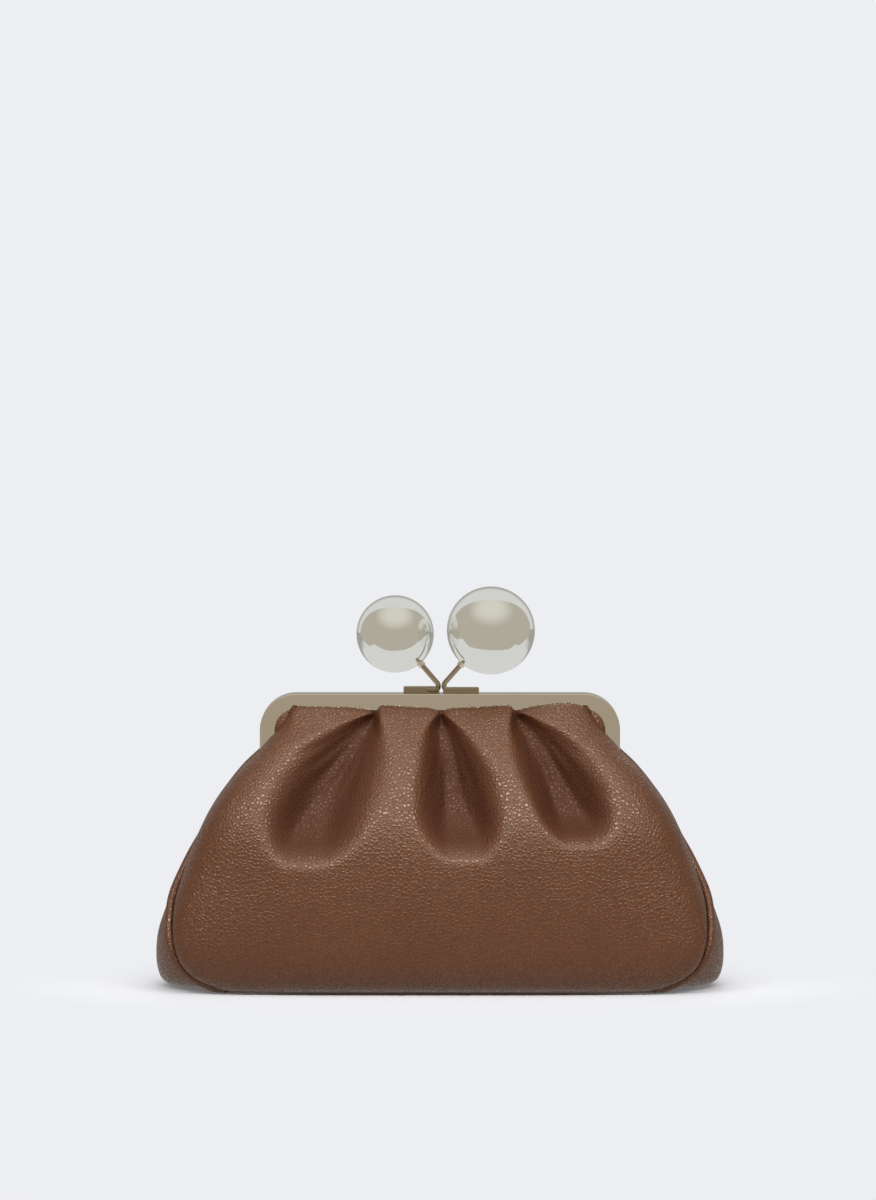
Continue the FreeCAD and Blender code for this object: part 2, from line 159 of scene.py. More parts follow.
# %% [markdown]
# ## Floor, background and light
# The purse stands on a pale table in a pale studio. A long strip of light in front and above draws the bright
# crests of the leather, a soft box overhead and one behind fill in, and the room does the rest. The side of the
# room in front of the purse is darker, and so is the far end behind it. Only polished metal shows that: the frame
# and the balls mirror it. Near the purse the table is a plain matt surface that takes its shadow. Further off it
# fades into the colour of the room, so no horizon shows.

# %% Background
PALE = "#EDEEF2"
ROOM_FRONT = "#B4AFA1"
ROOM_ABOVE = "#D6D4C8"
ROOM_BEHIND = "#D6D7D4"
ROOM_FAR = "#A3A29A"
ROOM_FILL_COLOUR, ROOM_FILL = "#F6F6F7", 0.17
# Where the parts of the room begin and end, as lengths of a unit vector that points to them
BEHIND_START, BEHIND_END, BEHIND_ARCH = 0.57, 0.65, 0.61
FAR_START, FAR_END = 0.7, 1.0
ABOVE_START, ABOVE_END, ABOVE_WAY = 0.55, 1.0, (0.0, -0.42, 0.91)


def mirrored(tree):
    """1 for rays off a mirror, 0 for others."""
    return tree.nodes.new("ShaderNodeLightPath").outputs["Is Glossy Ray"]


def seen(tree):
    """1 for rays from the camera, off a mirror or through glass, 0 for light that bounces off matt things."""
    path = tree.nodes.new("ShaderNodeLightPath").outputs
    both = calculate(tree, 'MAXIMUM', path["Is Camera Ray"], path["Is Glossy Ray"])
    return calculate(tree, 'MAXIMUM', both, path["Is Transmission Ray"])


world = bpy.data.worlds.new("pale_room")
bpy.context.scene.world = world
world.use_nodes = True
tree = world.node_tree
pointing = tree.nodes.new("ShaderNodeTexCoord").outputs["Generated"]
way = add(tree, "ShaderNodeSeparateXYZ", inputs={0: pointing}).outputs
arch = calculate(tree, 'MULTIPLY', way["Z"], way["Z"])
arch = calculate(tree, 'MULTIPLY_ADD', arch, BEHIND_ARCH, way["Y"])
behind = share_between(tree, arch, BEHIND_START, BEHIND_END)
towards = add(tree, "ShaderNodeVectorMath", {"operation": 'DOT_PRODUCT'},
              {0: pointing, 1: ABOVE_WAY}).outputs["Value"]
above = share_between(tree, towards, ABOVE_START, ABOVE_END)
far = share_between(tree, way["Y"], FAR_START, FAR_END)
front_colour = blend_colours(tree, above, linear(ROOM_FRONT), linear(ROOM_ABOVE))
back_colour = blend_colours(tree, far, linear(ROOM_BEHIND), linear(ROOM_FAR))
reflected = blend_colours(tree, behind, front_colour, back_colour)
shown_colour = blend_colours(tree, mirrored(tree), linear(PALE), reflected)
room = tree.nodes["Background"]
room.inputs["Color"].default_value = linear(ROOM_FILL_COLOUR)
room.inputs["Strength"].default_value = ROOM_FILL
shown = add(tree, "ShaderNodeBackground", inputs={"Color": shown_colour, "Strength": 1.0})
mix = add(tree, "ShaderNodeMixShader", inputs={0: seen(tree), 1: room.outputs[0], 2: shown.outputs[0]})
tree.links.new(mix.outputs[0], tree.nodes["World Output"].inputs["Surface"])
print("background:", PALE)

# %% Table
TABLE_SIZE = 8.0
# How far from the purse the shadow starts and stops fading. The patch is wider than it is deep.
FADE_START, FADE_END, FADE_ACROSS = 0.055, 0.15, 0.6
# In a mirror, the table glows with a painted reflection of the room: dark in front of a curved line, pale behind it
# and darker again far off
FRONT_LINE, FRONT_SOFTNESS, FRONT_SPREAD, FRONT_ROUND = -0.365, 0.01, 0.6, 0.04
TABLE_FAR_START, TABLE_FAR_END = 0.1, 0.55

floor_matt, tree, shader, place = new_material("matt_studio_paper")
shader.inputs["Base Color"].default_value = linear("#F2F3F6")
shader.inputs["Roughness"].default_value = 0.9
shader.inputs["Specular IOR Level"].default_value = 0.0
away = add(tree, "ShaderNodeVectorMath", {"operation": 'MULTIPLY'}, {0: place, 1: (FADE_ACROSS, 1.0, 1.0)}).outputs[0]
away = add(tree, "ShaderNodeVectorMath", {"operation": 'LENGTH'}, {0: away}).outputs["Value"]
fade = share_between(tree, away, FADE_START, FADE_END)
fade = calculate(tree, 'MULTIPLY', fade, seen(tree))
fade = calculate(tree, 'MAXIMUM', fade, mirrored(tree))
spot = add(tree, "ShaderNodeSeparateXYZ", inputs={0: place}).outputs
curve = calculate(tree, 'MULTIPLY', spot["X"], spot["X"])
curve = calculate(tree, 'MULTIPLY_ADD', curve, FRONT_SPREAD, FRONT_ROUND)
curve = calculate(tree, 'SQRT', curve)
forward = calculate(tree, 'SUBTRACT', spot["Y"], curve)
in_front = share_between(tree, forward, FRONT_LINE, FRONT_LINE - FRONT_SOFTNESS, soft=False)
far = share_between(tree, spot["Y"], TABLE_FAR_START, TABLE_FAR_END)
back_colour = blend_colours(tree, far, linear(ROOM_BEHIND), linear(ROOM_FAR))
# Painted reflection: mirrors see the table glow in these room colours instead of its lit surface.
in_mirror = blend_colours(tree, in_front, back_colour, linear(ROOM_FRONT))
far_colour = blend_colours(tree, mirrored(tree), linear(PALE), in_mirror)
glow = add(tree, "ShaderNodeEmission", inputs={"Color": far_colour, "Strength": 1.0})
mix = add(tree, "ShaderNodeMixShader", inputs={0: fade, 1: shader.outputs[0], 2: glow.outputs[0]})
tree.links.new(mix.outputs[0], tree.nodes["Material Output"].inputs["Surface"])

paper = bmesh.new()
bmesh.ops.create_grid(paper, x_segments=1, y_segments=1, size=TABLE_SIZE)
mesh = bpy.data.meshes.new("floor")
paper.to_mesh(mesh)
paper.free()
floor = bpy.data.objects.new("floor", mesh)
bpy.context.scene.collection.objects.link(floor)
mesh.materials.append(floor_matt)
print("table ready")

# %% Soft lights
# The lamps light the leather and the table. The metal shows only the room, as it would behind flags.
# Name, place, what it is turned to, width, height in metres, watts
SOFT_LIGHTS = (
    ("overhead_softbox", (-0.05, -0.13, 1.5), (0.0, -0.02, 0.08), 0.7, 0.4, 2.5),
    ("front_strip", (0.0, -0.92, 1.05), (0.0, -0.02, 0.08), 2.3, 0.28, 23),
    ("back_softbox", (0.1, 1.1, 1.2), (0.0, 0.02, 0.08), 1.2, 0.6, 8),
)
lit = bpy.data.collections.new("lit_by_softboxes")
lit.objects.link(floor)
for name, stand, aim, width, height, power in SOFT_LIGHTS:
    data = bpy.data.lights.new(name, 'AREA')
    data.shape = 'RECTANGLE'
    data.size, data.size_y, data.energy = width, height, power
    light = bpy.data.objects.new(name, data)
    light.location = stand
    light.rotation_euler = (Vector(aim) - Vector(stand)).to_track_quat('-Z', 'Y').to_euler()
    bpy.context.scene.collection.objects.link(light)
    light.light_linking.receiver_collection = lit
print("lights:", [name for name, *_ in SOFT_LIGHTS])

# %% Card over the bag
# A small card above the frame hides the brown bag from the balls, so that they mirror a pale ground: a painted
# reflection, for the card is no lamp but glows. Only mirrors see it, from above.
CARD_HALF_WIDTH, CARD_HALF_DEPTH, CARD_HEIGHT = 0.078, 0.031, 0.1545
card_reflection_glow, tree, shader, place = new_material("painted_reflection_card")
below = tree.nodes.new("ShaderNodeNewGeometry").outputs["Backfacing"]
glow = add(tree, "ShaderNodeEmission", inputs={"Color": linear(ROOM_BEHIND), "Strength": 1.0})
clear = tree.nodes.new("ShaderNodeBsdfTransparent")
mix = add(tree, "ShaderNodeMixShader", inputs={0: below, 1: glow.outputs[0], 2: clear.outputs[0]})
tree.links.new(mix.outputs[0], tree.nodes["Material Output"].inputs["Surface"])
sheet = bmesh.new()
bmesh.ops.create_grid(sheet, x_segments=1, y_segments=1, size=1.0)
bmesh.ops.scale(sheet, verts=sheet.verts[:], vec=(CARD_HALF_WIDTH, CARD_HALF_DEPTH, 1.0))
bmesh.ops.translate(sheet, verts=sheet.verts[:], vec=(0, 0, CARD_HEIGHT))
mesh = bpy.data.meshes.new("painted_reflection_card")
sheet.to_mesh(mesh)
sheet.free()
card = bpy.data.objects.new("painted_reflection_card", mesh)
mesh.materials.append(card_reflection_glow)
bpy.context.scene.collection.objects.link(card)
card.visible_camera = card.visible_diffuse = card.visible_shadow = card.visible_transmission = False
print("card:", round(2 * CARD_HALF_WIDTH / MM), "by", round(2 * CARD_HALF_DEPTH / MM), "mm")

# %% [markdown]
# ## Pebbled leather
# The outer leather is full-grain cowhide, drum-tumbled so that its grain stands up in soft pebbles of about two
# millimetres, then dyed through and lightly waxed. To the eye that is a warm brown with darker valleys between
# the pebbles, broken, sparkling highlights on the ridges and an uneven shine. Two Voronoi patterns of different
# size, bent by noise, make the pebbles. Their edges drive bump, colour and roughness together.
# Hands and wax polish the ridges only, so the folds stay more matt. The folds are also painted darker, a painted
# shade
# for the shadow inside them: the panels carry a value that says how deep in a fold each point lies.

# %% Pebbled leather
PEBBLE_MM, PEBBLE_HEIGHT_MM, PEBBLE_STRENGTH = 2.0, 0.17, 0.85
# A finer grain lies on the pebbles: its size and height as shares of theirs
FINE_SIZE, FINE_HEIGHT = 0.6, 0.1
PEBBLE_SLOPE, FINE_SLOPE = 0.32, 0.34
PEBBLE_RANDOM, FINE_RANDOM = 0.95, 0.9
# Noise bends the pebbles: size and reach, in pebbles
BEND_SIZE, BEND_REACH = 5, 0.5
PATCH_MM, PATCH_START, PATCH_END = 38, 0.35, 0.65
VALLEY_END = 0.8
ROUGH_VALLEY, ROUGH_RIDGE, ROUGH_FOLD, GRAIN_TOP = 0.55, 0.19, 0.28, 1.2
# The last of these colours is a painted shade, for the shadow deep in the pockets.
LEATHER_DARK, LEATHER_LIGHT, LEATHER_VALLEY, LEATHER_FOLD_SHADE = "#572E17", "#5F341C", "#4F2913", "#461E06"


def cells(tree, place, size_mm, random, slope):
    """Soft domes with valleys between them."""
    edges = add(tree, "ShaderNodeTexVoronoi", {"feature": 'DISTANCE_TO_EDGE'},
                {"Vector": place, "Scale": 1 / (size_mm * MM), "Randomness": random})
    return share_between(tree, edges.outputs["Distance"], 0.0, slope)


leather, tree, shader, place = new_material("tumbled_full_grain_leather")
bend = add(tree, "ShaderNodeTexNoise",
           inputs={"Vector": place, "Scale": 1 / (BEND_SIZE * PEBBLE_MM * MM), "Detail": 2.0})
bent = add(tree, "ShaderNodeVectorMath", {"operation": 'MULTIPLY_ADD'},
           {0: bend.outputs["Color"], 1: (PEBBLE_MM * MM * BEND_REACH,) * 3, 2: place}).outputs[0]
dome = cells(tree, bent, PEBBLE_MM, PEBBLE_RANDOM, PEBBLE_SLOPE)
fine = cells(tree, bent, FINE_SIZE * PEBBLE_MM, FINE_RANDOM, FINE_SLOPE)
grain = calculate(tree, 'MULTIPLY_ADD', fine, FINE_HEIGHT, dome)
fold = add(tree, "ShaderNodeAttribute", {"attribute_name": "fold"}).outputs["Fac"]
print("leather pebbles:", PEBBLE_MM, "mm")

# %% Colour and shine of the leather
patches = add(tree, "ShaderNodeTexNoise", inputs={"Vector": place, "Scale": 1 / (PATCH_MM * MM), "Detail": 3.0})
patch = share_between(tree, patches.outputs["Fac"], PATCH_START, PATCH_END, soft=False)
ridge = share_between(tree, dome, 0.0, VALLEY_END, soft=False)
colour = blend_colours(tree, patch, linear(LEATHER_DARK), linear(LEATHER_LIGHT))
colour = blend_colours(tree, ridge, linear(LEATHER_VALLEY), colour)
# Painted shade: deep in the folds the colour darkens to the fold shade, for the shadow inside the pockets.
colour = blend_colours(tree, fold, colour, linear(LEATHER_FOLD_SHADE))
tree.links.new(colour, shader.inputs["Base Color"])
rough = add(tree, "ShaderNodeMapRange", inputs={"Value": grain, "From Min": 0.0, "From Max": GRAIN_TOP,
                                                "To Min": ROUGH_VALLEY, "To Max": ROUGH_RIDGE}).outputs[0]
rough = calculate(tree, 'MULTIPLY_ADD', fold, ROUGH_FOLD, rough)
tree.links.new(rough, shader.inputs["Roughness"])
shader.inputs["Specular IOR Level"].default_value = 0.7
shader.inputs["Specular Tint"].default_value = linear("#FFE9D4")
bump = add(tree, "ShaderNodeBump",
           inputs={"Strength": PEBBLE_STRENGTH, "Distance": PEBBLE_HEIGHT_MM * MM, "Height": grain})
tree.links.new(bump.outputs[0], shader.inputs["Normal"])
print("leather:", leather.name)

# %% [markdown]
# ## Plated metal
# Frame, stems and balls are brass, polished and plated in a pale, slightly golden nickel. The balls are buffed
# to a mirror. The flat frame keeps very faint polishing haze, so its reflections are a little softer. A soft
# noise in the roughness keeps the mirror from looking computed.


# %% Plated metal
def plated(name, code, low, high, haze_mm):
    """Polished plating with a little haze: roughness wanders between low and high."""
    material, tree, shader, place = new_material(name)
    shader.inputs["Base Color"].default_value = linear(code)
    shader.inputs["Metallic"].default_value = 1.0
    haze = add(tree, "ShaderNodeTexNoise", inputs={"Vector": place, "Scale": 1 / (haze_mm * MM), "Detail": 4.0})
    rough = add(tree, "ShaderNodeMapRange", inputs={"Value": haze.outputs["Fac"], "From Min": 0.3, "From Max": 0.7,
                                                    "To Min": low, "To Max": high}).outputs[0]
    tree.links.new(rough, shader.inputs["Roughness"])
    return material


ball_plating = plated("mirror_nickel_plating", "#F7F7F5", 0.03, 0.05, 9.0)
frame_plating = plated("polished_pale_gold_plating", "#E2D6C8", 0.06, 0.10, 6.0)
# The stems are the same pale nickel; their darker, browner colour is a painted reflection of the brown leather and
# painted shade.
stem_plating = plated("stem_nickel_painted_darker", "#A8957F", 0.05, 0.09, 4.0)
print("platings:", ball_plating.name, frame_plating.name, stem_plating.name)

# %% [markdown]
# ## Materials inside the purse
# The lining is a cotton twill: its diagonal ribs are about a millimetre apart. The wall is filled with a thin
# open-cell foam, the base has a board of grey pulp, and a cord of twisted paper wedges the leather in the frame.

# %% Inside materials
RIB_MM = 1.1
lining_twill, tree, shader, place = new_material("cotton_twill")
rib_turn = (0.0, math.radians(45), math.radians(12))
turned = add(tree, "ShaderNodeMapping", inputs={"Vector": place, "Rotation": rib_turn})
rib_scale = math.tau / (20 * RIB_MM * MM)
ribs = add(tree, "ShaderNodeTexWave", {"wave_type": 'BANDS', "bands_direction": 'X'},
           {"Vector": turned.outputs[0], "Scale": rib_scale, "Distortion": 0.6, "Detail": 1.0})
colour = ramp(tree, ribs.outputs["Fac"], ((0.0, linear("#43322A")), (1.0, linear("#533F33"))))
tree.links.new(colour, shader.inputs["Base Color"])
shader.inputs["Roughness"].default_value = 0.85
shader.inputs["Sheen Weight"].default_value = 0.25
bump = add(tree, "ShaderNodeBump", inputs={"Strength": 0.4, "Distance": 0.2 * MM, "Height": ribs.outputs["Fac"]})
tree.links.new(bump.outputs[0], shader.inputs["Normal"])


def speckled(name, dark, light, grit_mm, roughness, depth_mm):
    """A matt material of fine grains or cells between two colours."""
    material, tree, shader, place = new_material(name)
    grit = add(tree, "ShaderNodeTexNoise", inputs={"Vector": place, "Scale": 1 / (grit_mm * MM), "Detail": 4.0})
    colour = ramp(tree, grit.outputs["Fac"], ((0.3, linear(dark)), (0.7, linear(light))))
    tree.links.new(colour, shader.inputs["Base Color"])
    shader.inputs["Roughness"].default_value = roughness
    bump = add(tree, "ShaderNodeBump",
               inputs={"Strength": 0.4, "Distance": depth_mm * MM, "Height": grit.outputs["Fac"]})
    tree.links.new(bump.outputs[0], shader.inputs["Normal"])
    return material


foam = speckled("open_cell_foam", "#C9C2A8", "#E4DEC8", 0.8, 0.95, 0.3)
pulp_board = speckled("grey_pulp_board", "#77736C", "#96918A", 1.2, 0.9, 0.1)
twisted_paper = speckled("twisted_paper_cord", "#A98F68", "#CBB48C", 0.9, 0.9, 0.2)
print("inside materials:", lining_twill.name, foam.name, pulp_board.name, twisted_paper.name)

# %% [markdown]
# ## The form of a leather panel
# The front panel is one piece of leather, gathered into three pleats at the frame and sewn to the gusset round
# its other edge. A pattern cutter would draw its outline. Here a flat grid is bent to it: each row of the grid
# is a rounded section of the bag at one height, and tables give the section's width, depth and seam.
# Below each pleat the leather sinks into a pocket with a round lower rim. The pockets are pressed into the
# grid afterwards, as a thumb presses clay. A simulation would find folds of its own, so sculpting in code is
# the surer way to the folds of this purse.


# %% Smooth tables
def through(table, values):
    """A smooth curve through a table of (position, value), read at many positions."""
    p, v = (np.array(column, float) for column in zip(*sorted(table)))
    slope = np.gradient(v, p)
    span = np.diff(v) / np.diff(p)
    for i in range(1, len(p) - 1):
        if span[i - 1] * span[i] <= 0:
            slope[i] = 0
        else:
            slope[i] = np.sign(span[i]) * min(abs(slope[i]), 2.5 * min(abs(span[i - 1]), abs(span[i])))
    x = np.clip(values, p[0], p[-1])
    k = np.clip(np.searchsorted(p, x) - 1, 0, len(p) - 2)
    h = p[k + 1] - p[k]
    t = (x - p[k]) / h
    return ((2 * t ** 3 - 3 * t ** 2 + 1) * v[k] + (t ** 3 - 2 * t ** 2 + t) * h * slope[k]
            + (3 * t ** 2 - 2 * t ** 3) * v[k + 1] + (t ** 3 - t ** 2) * h * slope[k + 1])


def ease(value):
    """0 to 1, with a soft start and end."""
    t = np.clip(value, 0, 1)
    return t * t * (3 - 2 * t)


print("half way along a table:", float(through(((0, 0), (1, 1)), np.array([0.5]))[0]))

# %% Tables of the panel, in millimetres
# Middle of each layer, from the frame down the belly and in at the base seam: distance in front of the shutting
# plane, height. The leather starts in the frame's channel and rolls over the frame's lower edge.
LEATHER_LINE = (
    (6.3, 145.0), (6.5, 141.0), (8.6, 140.5), (9.7, 142.0), (11.2, 143.3), (13.2, 142.9), (16.2, 140.4),
    (21.0, 135.2), (26.6, 128.5), (33.4, 118.8), (40.4, 106.5), (45.8, 96.0), (49.4, 88.0), (52.0, 80.0),
    (54.2, 70.0), (56.0, 57.0), (57.4, 42.0), (57.8, 27.0), (57.0, 15.0), (54.2, 7.6), (50.0, 3.4), (45.5, 1.6),
    (41.5, 1.6), (39.4, 4.6),
)
FOAM_LINE = (
    (50.0, 60.0), (51.2, 52.0), (53.0, 41.0), (53.8, 27.0), (53.0, 16.4), (50.0, 10.2), (46.0, 6.8), (41.5, 5.8),
)
TWILL_LINE = (
    (4.7, 145.0), (4.8, 139.0), (6.2, 133.6), (11.4, 128.0), (18.0, 121.4), (24.4, 111.8), (30.6, 100.6),
    (35.6, 89.6), (40.4, 75.0), (45.4, 57.6), (50.6, 40.6), (51.2, 26.0), (50.4, 17.2), (47.6, 12.0),
    (43.8, 9.0), (40.0, 7.8), (36.0, 7.4),
)
HALF_WIDTH = (
    (1.6, 108.0), (3.6, 114.0), (8.0, 123.6), (13.0, 129.4), (22.0, 133.8), (33.0, 135.4), (45.8, 134.6),
    (62.6, 129.6), (73.0, 126.0), (84.0, 121.2), (90.0, 118.0), (96.0, 114.2), (102.0, 109.8), (108.0, 105.2),
    (114.0, 100.0), (121.0, 92.6), (126.0, 88.2), (130.0, 84.6), (135.0, 80.6), (140.0, 76.8), (143.0, 74.2),
    (145.5, 72.0),
)
SEAM_DEPTH = (
    (1.6, 41.2), (9.0, 41.8), (18.0, 41.8), (35.0, 36.0), (55.0, 23.8), (73.6, 12.8), (83.0, 9.4), (92.0, 8.2),
    (97.0, 8.4), (104.0, 9.2), (131.0, 9.6), (146.0, 9.6),
)
ROUNDNESS = (
    (1.6, 3.2), (20.0, 3.0), (45.0, 3.2), (65.0, 3.8), (85.0, 4.8), (105.0, 5.6), (135.0, 4.8), (146.0, 6.0),
)
LEG_FOOT, LEG_FACE = 97.0, 8.9
# How close the leather comes to the shutting plane
LEATHER_CLEARANCE = 9.0
FRAME_CORNER_START, FRAME_CORNER_HEIGHT, FRAME_CORNER_BEND, FRAME_CORNER_ROOM = 73.6, 131.6, 10.2, 0.3
ROWS, MAIN_COLUMNS, FLAP_COLUMNS = 150, 300, 9
# Rows lie closer at the frame, and columns at the sides, where the leather bends most
ROW_EVENNESS, SIDE_SHARE, LEAST_STEP = 0.6, 0.25, 0.004
# The pockets of the inner layers are deeper and reach further down, so that they stay clear of the leather when
# the frame opens
INNER_DROP, INNER_SINK, INNER_SOFTNESS = 10.0, 3.0, 5.0
# Over this distance from the shutting plane's clearance the pockets set in
POCKET_START = 5.0
# Where the side of the leather leaves the seam for the leg's channel, and how it turns in at the seam
LEG_START, LEG_SPAN, SEAM_TURN = 6.0, 8.0, (4.5, 2.5)
# The fold at the leg: its share of the flap, how far it stands in from the corner, and how deep it goes
LEG_FOLD, LEG_INSET, LEG_REACH, LEG_DEPTH = 0.3, 0.6, 4.4, 2.6
print("panel grid:", ROWS, "rows,", MAIN_COLUMNS + 2 * FLAP_COLUMNS, "columns")

# %% [markdown]
# ### Pockets and pleats
# Each pleat opens downwards into a pocket. A table gives, for some heights, where the pocket's left wall starts
# and ends and where its right wall ends and starts again, as the eye sees it from the front. At the frame the
# walls are narrow and steep, because the leather folds over. Lower down they are wide and soft. A second table
# gives the depth, which runs out in a round lower rim.

# %% Pocket tables, in millimetres
# Height, then across: left rim, foot of the left wall, foot of the right wall, right rim
POCKETS = (
    ((142, -35.5, -33.4, -33.0, -31.5), (138, -46, -35.6, -34.2, -30), (134, -57, -38.2, -36, -27.5),
     (130, -68, -41, -38.2, -25), (124, -81, -45.8, -42, -22.5), (118, -88, -50, -46, -20.5),
     (110, -93, -55, -50.5, -21), (100, -96, -61.5, -55, -24), (90, -97, -67.5, -58.5, -28),
     (80, -94, -72.5, -60, -34), (70, -89, -75, -61, -43), (60, -81, -74, -64, -55)),
    ((142, -1, 0.3, 0.7, 2), (138, -5, 0.1, 1.1, 7), (134, -9, 0, 2, 13), (130, -11.5, 0.2, 3, 18.5),
     (124, -13.5, 1, 4.6, 25), (118, -15, 2, 6, 30), (110, -16.5, 3, 7.8, 34.5), (100, -18, 4, 10.5, 37.5),
     (90, -17.5, 4.4, 14, 38), (80, -12, 4.6, 17.6, 35), (70, -4, 6, 20, 29), (60, 4, 9, 18, 22)),
    ((142, 37, 38.7, 39, 41.5), (138, 35, 39.5, 40.8, 50), (134, 33.5, 41, 43, 59), (130, 33, 43, 45.8, 70),
     (124, 33, 46.4, 50.2, 82), (118, 34, 49.6, 54.2, 88), (110, 37, 53.4, 59.4, 92.5), (100, 42, 57, 65.6, 95.5),
     (90, 47, 60.4, 70.8, 95), (80, 54, 64.6, 75.4, 91), (70, 62, 69, 78, 86), (60, 68, 72, 77, 81)),
)
POCKET_DEPTH = (
    (61, 0.0), (63, 0.4), (66, 2.0), (69, 5.0), (72, 8.6), (76, 13.2), (80, 16.8), (84, 19.0), (88, 20.2),
    (94, 20.8), (100, 20.6), (106, 19.8), (112, 18.2), (118, 16.0), (124, 13.6), (130, 11.4), (136, 9.6),
    (141, 7.0), (144, 3.0),
)
# How much higher the lower rim of each pocket lies than in the table of depths. The lift fades out upwards.
RIM_LIFT, LIFT_TOP, LIFT_SPAN = (2.5, 5.5, 13.0), 104, 30
# Over 1, a wall is rounder at its rim than at its foot. A share of a straight wall keeps the valleys narrow.
RIM_BEND, FOOT_SLOPE = 1.45, 0.1
# Fine creases fan out from each pleat: height, reach, spread, how many to a radian, and how fast they bend
CREASE_HEIGHT, CREASE_REACH, CREASE_SPREAD, CREASE_COUNT, CREASE_BEND = 0.45, 38.0, 17.0, 34.0, 0.11
# The rolled top edge, from left to right: height over its mean. It starts a little below the frame.
TOP_EDGE_START, TOP_EDGE_RISE = 126, 14
TOP_EDGE = (
    (-80, -1.5), (-73, 0.6), (-58, 0.4), (-38, -1.0), (-33.2, -2.6), (-30, 1.2), (-16, 0.4), (-3.5, -0.9),
    (0.5, -2.6), (4.5, -0.9), (20, 0.3), (35.5, 1.2), (38.9, -2.4), (43, -0.6), (53, 1.4), (64, 2.6), (72, 1.2),
    (80, -1.5),
)
print("pockets:", len(POCKETS))


# %% Shape of the panel
def wall(share):
    """A pocket's wall, 0 at its rim and 1 at its foot: round at the rim, and still sloping at the foot."""
    t = np.clip(share, 0, 1) ** RIM_BEND
    return ease(t) + FOOT_SLOPE * (t - ease(t))


def pocket_push(x, z):
    """How far the pockets press the leather in, at places across and up."""
    push = np.zeros_like(x)
    for pocket, lift in zip(POCKETS, RIM_LIFT):
        left, left_foot, right_foot, right = (
            through(tuple((row[0], row[column]) for row in pocket), z) for column in (1, 2, 3, 4))
        shape = wall((x - left) / (left_foot - left)) * wall((right - x) / (right - right_foot))
        depth = through(POCKET_DEPTH, z - lift * ease((LIFT_TOP - z) / LIFT_SPAN))
        apex_z, apex_x = pocket[0][0], (pocket[0][2] + pocket[0][3]) / 2
        away = np.hypot(x - apex_x, z - apex_z)
        fan = np.arctan2(x - apex_x, apex_z - z)
        crease = np.cos(CREASE_COUNT * fan + CREASE_BEND * away)
        crease = crease * np.exp(-((away - CREASE_REACH) / CREASE_SPREAD) ** 2)
        push = push + shape * (depth + CREASE_HEIGHT * crease)
    return push


def panel_points(line, inset, least, rows, main_columns, flap_columns=0, rolled=False):
    """Points of one layer of the front panel in millimetres: rows from the frame down to the base seam."""
    line = np.array(line)
    reach = np.concatenate(([0], np.cumsum(np.hypot(*np.diff(line, axis=0).T))))
    t = np.linspace(0, 1, rows + 1)
    station = reach[-1] * (ROW_EVENNESS * t + (1 - ROW_EVENNESS) * t * t)
    depth = through(tuple(zip(reach, line[:, 0])), station)[:, None]
    height = through(tuple(zip(reach, line[:, 1])), station)[:, None]
    width, seam = through(HALF_WIDTH, height) - inset, np.minimum(through(SEAM_DEPTH, height), depth)
    power = through(ROUNDNESS, height)
    steps = ease((1 - np.abs(np.linspace(-1, 1, main_columns))) / SIDE_SHARE) + LEAST_STEP
    share = (2 * np.concatenate(([0], np.cumsum(steps))) / steps.sum() - 1)[None, :]
    x = width * share
    y = -(seam + (depth - seam) * np.maximum(1 - np.abs(share) ** power, 0) ** (1 / power))
    z = np.repeat(height, main_columns + 1, axis=1)
    push = pocket_push(x, z)
    if rolled:
        out = ease((station[:, None] - reach[2]) / (reach[5] - reach[2]))
        tucked = ease((reach[7] - station[:, None]) / (reach[7] - reach[3]))
        past = np.clip(np.abs(x) - FRAME_CORNER_START, 0, FRAME_CORNER_BEND - FRAME_CORNER_ROOM)
        z = z - tucked * (FRAME_CORNER_BEND - np.sqrt(FRAME_CORNER_BEND ** 2 - past ** 2))
        push = push * out
        z = z + out * ease((z - TOP_EDGE_START) / TOP_EDGE_RISE) * through(TOP_EDGE, x)
    else:
        push = np.maximum(push, pocket_push(x, z + INNER_DROP))
        push = push + INNER_SINK * ease(push / INNER_SOFTNESS)
    y = np.minimum(y + push * ease((-y - least) / POCKET_START), -np.minimum(-y, least))
    main = np.stack((x, y, z), -1)
    if not flap_columns:
        return main
    free = ease((station - reach[3]) / (reach[6] - reach[3]))
    sides = [side_flap(main[:, edge], free, sign, flap_columns) for sign, edge in ((-1, 0), (1, -1))]
    return np.concatenate((sides[0], main, sides[1][:, ::-1]), axis=1)


def side_flap(fold, free, sign, columns):
    """The leather past its widest line: in to the seam below the hinge, and into the leg's channel above it."""
    above = ease((fold[:, 2] - LEG_FOOT + LEG_START) / LEG_SPAN)[:, None]
    corner = np.array((sign * FRAME_CORNER_START, FRAME_CORNER_HEIGHT))
    outwards = fold[:, [0, 2]] - corner
    outwards[:, 1] = np.maximum(outwards[:, 1], 0)
    outwards /= np.linalg.norm(outwards, axis=1, keepdims=True)
    level = np.stack((np.full(len(fold), corner[0]), np.minimum(fold[:, 2], corner[1])), -1)
    flap = []
    for step in np.linspace(1, 0, columns + 1)[:-1]:
        turned_in = fold + np.array((-sign * SEAM_TURN[0], SEAM_TURN[1], 0.0)) * step
        to_leg = fold.copy()
        into = max(0.0, (step - LEG_FOLD) / (1 - LEG_FOLD))
        edge = level + outwards * (FRAME_CORNER_BEND - LEG_INSET + LEG_REACH * into)
        t = ease(step / LEG_FOLD)
        to_leg[:, 0] += (edge[:, 0] - fold[:, 0]) * t
        to_leg[:, 1] += (-LEG_FACE + LEG_DEPTH * into - fold[:, 1]) * t
        to_leg[:, 2] += (edge[:, 1] - fold[:, 2]) * t
        flap.append(turned_in + (fold + (to_leg - fold) * free[:, None] - turned_in) * above)
    return np.stack(flap, 1)


